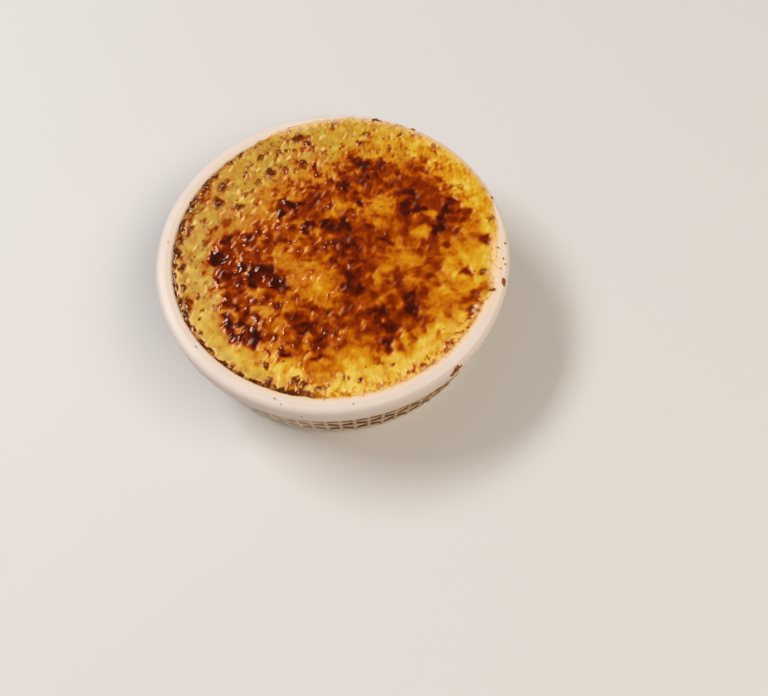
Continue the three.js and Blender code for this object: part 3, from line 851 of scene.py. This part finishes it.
class Recipe:
    """A material being put together."""

    def __init__(self, name):
        self.material = bpy.data.materials.new(name)
        self.material.use_nodes = True
        self.tree = self.material.node_tree
        self.tree.nodes.clear()

    def add(self, kind, settings=None, inputs=None, output=0):
        """A node of that kind: its settings first, then its sockets' values or links. Stops set a ramp."""
        node = self.tree.nodes.new(kind)
        for name, value in (settings or {}).items():
            if name == "stops":
                self.fill(node.color_ramp, value)
            else:
                setattr(node, name, value)
        for name, value in (inputs or {}).items():
            if isinstance(value, Signal):
                self.tree.links.new(value.socket, node.inputs[name])
            else:
                node.inputs[name].default_value = value
        return Signal(self, node.outputs[output])

    def fill(self, ramp, stops):
        """Gives a ramp these (position, colour) stops."""
        while len(ramp.elements) > 1:
            ramp.elements.remove(ramp.elements[-1])
        for i, (position, colour) in enumerate(stops):
            element = ramp.elements[0] if i == 0 else ramp.elements.new(position)
            element.position = position
            element.color = colour

    def field(self, name):
        """A number kept at the mesh's points."""
        return self.add("ShaderNodeAttribute", {"attribute_name": name}, output="Fac")

    def noise(self, scale, detail, roughness):
        """Noise about 0.5 in object space, scale in waves per metre."""
        place = self.add("ShaderNodeTexCoord", output="Object")
        sockets = {"Vector": place, "Scale": scale, "Detail": detail, "Roughness": roughness}
        return self.add("ShaderNodeTexNoise", None, sockets)

    def strokes(self, angle, stretch, scale, share):
        """1 along the middle of short slanted strokes, 0 off them: cells in object space drawn out along an
        angle in degrees, with a stroke in that share of them."""
        place = self.add("ShaderNodeTexCoord", output="Object")
        drift = self.add("ShaderNodeTexNoise", None, {"Vector": place, "Scale": 220}, output="Color")
        moved = self.add("ShaderNodeVectorMath", {"operation": "MULTIPLY_ADD"}, {
            0: drift, 1: (0.003, 0.003, 0), 2: place,
        })
        turned = self.add("ShaderNodeMapping", {"vector_type": "TEXTURE"}, {
            "Vector": moved, "Rotation": (0, 0, np.radians(angle)), "Scale": (stretch, 1, stretch),
        })
        cells = {"Vector": turned, "Scale": scale}
        flat = {"voronoi_dimensions": "2D"}
        near = self.add("ShaderNodeTexVoronoi", flat, cells, output="Distance")
        lot = self.add("ShaderNodeTexVoronoi", flat, cells, output="Color")
        ridge = self.ramp(near, [(0.08, grey(1)), (0.29, grey(0))])
        kept = self.ramp(lot, [(share - 0.02, grey(1)), (share, grey(0))])
        return ridge * kept

    def ramp(self, value, stops):
        """Colours or greys along a number, as (position, colour) stops."""
        return self.add("ShaderNodeValToRGB", {"stops": stops}, {"Fac": value})

    def blend(self, share, first, second):
        """Colour mix of two colours."""
        colours = {"data_type": "RGBA"}
        return self.add("ShaderNodeMix", colours, {"Factor": share, 6: first, 7: second}, output=2)

    def bump(self, height, distance, strength):
        sockets = {"Height": height, "Distance": distance, "Strength": strength}
        return self.add("ShaderNodeBump", None, sockets)

    def surface(self, **sockets):
        """The Principled shader and the output. Underscores in names stand for spaces."""
        named = {name.replace("_", " "): value for name, value in sockets.items()}
        shader = self.add("ShaderNodeBsdfPrincipled", None, named)
        end = self.tree.nodes.new("ShaderNodeOutputMaterial")
        self.tree.links.new(shader.socket, end.inputs["Surface"])
        return self.material


def grey(value):
    """The same linear value in all three colours."""
    return (value, value, value, 1)


def shade(red, green, blue):
    """Linear colour from 0-255 display values."""
    c = np.array([red, green, blue]) / 255
    linear = np.where(c <= 0.04045, c / 12.92, ((c + 0.055) / 1.055) ** 2.4)
    return (*linear, 1)


def burnt_sugar():
    """Custard and its crust: a ramp from pale yellow through amber and rust to char, glossy where brown."""
    made = Recipe("burnt_sugar")
    fine = made.noise(900, 3, 0.6)
    broad = made.noise(160, 2, 0.5)
    browning = made.field("browning") + (fine - 0.5) * 0.16 + (broad - 0.5) * 0.08
    colour = made.ramp(browning, [
        (0.00, shade(227, 199, 88)),
        (0.12, shade(216, 170, 38)),
        (0.25, shade(208, 140, 13)),
        (0.38, shade(194, 110, 8)),
        (0.50, shade(167, 71, 0)),
        (0.62, shade(136, 44, 0)),
        (0.75, shade(104, 24, 0)),
        (0.88, shade(72, 10, 0)),
        (1.00, shade(52, 6, 0)),
    ])
    patchy = made.ramp(made.noise(330, 3, 0.6), [(0.35, grey(0.3)), (0.65, grey(0.7))])
    # Painted shade and dullness: duller, greener yellow at the back left and along the left brim.
    colour = made.blend(made.field("dull") * patchy, colour, shade(158, 121, 50))
    soot = made.field("soot") * (fine * 0.5 + 0.7)
    burnt = made.ramp(made.field("soot"), [(0.3, shade(106, 40, 4)), (0.95, shade(78, 25, 1))])
    colour = made.blend(soot, colour, burnt)
    # Painted glow behind the burnt lumps, and the fringe's own pale ridges.
    colour = made.blend(made.field("glow") * 0.5, colour, shade(246, 206, 146))
    # Painted highlights: short pale strokes, coloured by the browning beneath, that also feed the bump.
    stroke = made.strokes(62, 2.8, 420, 0.42)
    light = made.ramp(browning, [
        (0.05, shade(252, 230, 150)),
        (0.25, shade(253, 206, 124)),
        (0.50, shade(252, 176, 100)),
        (0.80, shade(226, 160, 130)),
    ])
    colour = made.blend(stroke * made.field("wet") * 0.8, colour, light)
    # The thin film's pale colour, and the two painted highlight flecks.
    thin = made.field("thin")
    speckle = made.ramp(made.noise(1000, 3, 0.65), [(0.4, grey(0.2)), (0.58, grey(1))])
    colour = made.blend(thin * (speckle * 0.5 + 0.5), colour, shade(241, 208, 158))
    relief = made.noise(1400, 3, 0.6)
    normal = made.bump(relief * 0.1 + stroke * made.field("wet"), 0.0003, 0.7)
    gloss = browning + soot * 0.7 - thin - made.field("dull") * 0.5
    roughness = made.ramp(gloss, [(0.0, grey(0.4)), (0.15, grey(0.27)), (0.5, grey(0.1))])
    coat = made.ramp(browning - thin, [(0.68, grey(0)), (0.95, grey(0.22))])
    return made.surface(
        Base_Color=colour, Roughness=roughness, Specular_IOR_Level=0.42, Specular_Tint=(1.0, 0.66, 0.4, 1),
        Normal=normal, Coat_Weight=coat, Coat_Roughness=0.05, Subsurface_Weight=0.12,
        Subsurface_Radius=(1.0, 0.45, 0.15), Subsurface_Scale=0.0015,
    )


def glazed_stoneware():
    """Cream glaze, brown where it pools in the weave's pits, with painted shade darkening the pits, the
    wall and its right side, and with golden stains by the custard and a painted warm shade down the wall.
    """
    made = Recipe("glazed_stoneware")
    cloudy = made.noise(60, 3, 0.55)
    body = made.ramp(cloudy, [(0.35, shade(222, 208, 200)), (0.65, shade(227, 216, 208))])
    speck = made.noise(1500, 2, 0.5)
    freckled = made.ramp(speck, [(0.72, grey(0)), (0.8, grey(1))])
    body = made.blend(freckled * 0.35, body, shade(150, 110, 80))
    grain = made.noise(1100, 3, 0.6)
    # Golden stains and a painted warm shade down the wall.
    stain_and_painted_shade = made.field("stain_and_painted_shade") * (grain * 3.2 - 0.6)
    gold = made.ramp(stain_and_painted_shade, [
        (0.3, shade(240, 210, 166)),
        (0.8, shade(238, 198, 136)),
        (1.0, shade(222, 170, 90)),
    ])
    stained_and_painted_shade = made.blend(stain_and_painted_shade * 1.2, body, gold)
    # Brown in the pits: partly pooled glaze, partly painted shade.
    pit_brown_and_painted_shade = made.blend(made.field("pit") * (cloudy * 0.5 + grain * 0.5 + 0.6), stained_and_painted_shade, shade(98, 54, 6))
    relief = made.noise(500, 2, 0.5)
    normal = made.bump(relief, 0.0002, 0.3)
    return made.surface(
        Base_Color=pit_brown_and_painted_shade, Roughness=0.5, Specular_IOR_Level=0.3, Normal=normal, Coat_Weight=0.08,
        Coat_Roughness=0.2,
    )


def plain_floor():
    """A plain pale floor."""
    made = Recipe("plain_floor")
    return made.surface(Base_Color=shade(216, 216, 216), Roughness=0.6)


# ---- the set

CAMERA_ELEVATION = 63.101  # degrees above the horizon
CAMERA_ROLL = -3.193  # degrees about its own axis
CAMERA_PLACE = (0.01585, -0.16765, 0.28747)  # metres
LENS = 41.61
SENSOR_WIDTH = 36
FLOOR_REACH = 3.0  # metres from the middle to each side of the floor


def camera():
    """Looks down on the dish from the front, turned a little about its own axis."""
    elevation = np.radians(CAMERA_ELEVATION)
    roll = np.radians(CAMERA_ROLL)
    forward = Vector((0, np.cos(elevation), -np.sin(elevation)))
    across = Vector((1, 0, 0))
    up = across.cross(forward)
    right = across * np.cos(roll) + up * np.sin(roll)
    top = up * np.cos(roll) - across * np.sin(roll)
    data = bpy.data.cameras.new("camera")
    data.lens = LENS
    data.sensor_width = SENSOR_WIDTH
    data.clip_start = 0.01
    data.clip_end = 20
    eye = new_object("camera", data)
    facing = Matrix((right, top, -forward)).transposed()
    eye.matrix_world = Matrix.Translation(CAMERA_PLACE) @ facing.to_4x4()
    bpy.context.scene.camera = eye


def area_light(name, direction, distance, size, power, colour):
    """A rectangular lamp at that distance along a direction, facing the dish."""
    data = bpy.data.lights.new(name, "AREA")
    data.shape = "RECTANGLE"
    data.size, data.size_y = size
    data.energy = power
    data.color = colour
    lamp = new_object(name, data)
    away = Vector(direction).normalized()
    lamp.location = away * distance
    lamp.rotation_euler = away.to_track_quat("Z", "Y").to_euler()


def studio():
    """Plain floor, a window-like lamp at the back left, a broad one at the front right, a warm surround."""
    mesh = bpy.data.meshes.new("floor")
    corners = [(x * FLOOR_REACH, y * FLOOR_REACH, 0) for x, y in ((-1, -1), (1, -1), (1, 1), (-1, 1))]
    mesh.from_pydata(corners, [], [(0, 1, 2, 3)])
    mesh.materials.append(plain_floor())
    floor = new_object("floor", mesh)
    area_light("window", (-0.58, 0.32, 0.75), 1.6, (0.9, 0.32), 17, (0.97, 0.97, 1.0))
    area_light("fill", (0.5, -0.35, 0.79), 1.8, (1.6, 0.8), 21, (1.0, 0.9, 0.78))
    world = bpy.data.worlds.new("surround")
    bpy.context.scene.world = world
    world.use_nodes = True
    background = world.node_tree.nodes["Background"]
    background.inputs["Color"].default_value = (1.0, 0.84, 0.66, 1)
    background.inputs["Strength"].default_value = 0.2
    bpy.context.scene.view_settings.view_transform = "Standard"


camera()
studio()
dish().data.materials.append(glazed_stoneware())
sugar = burnt_sugar()
for piece in (custard(), crumbs()):
    piece.data.materials.append(sugar)
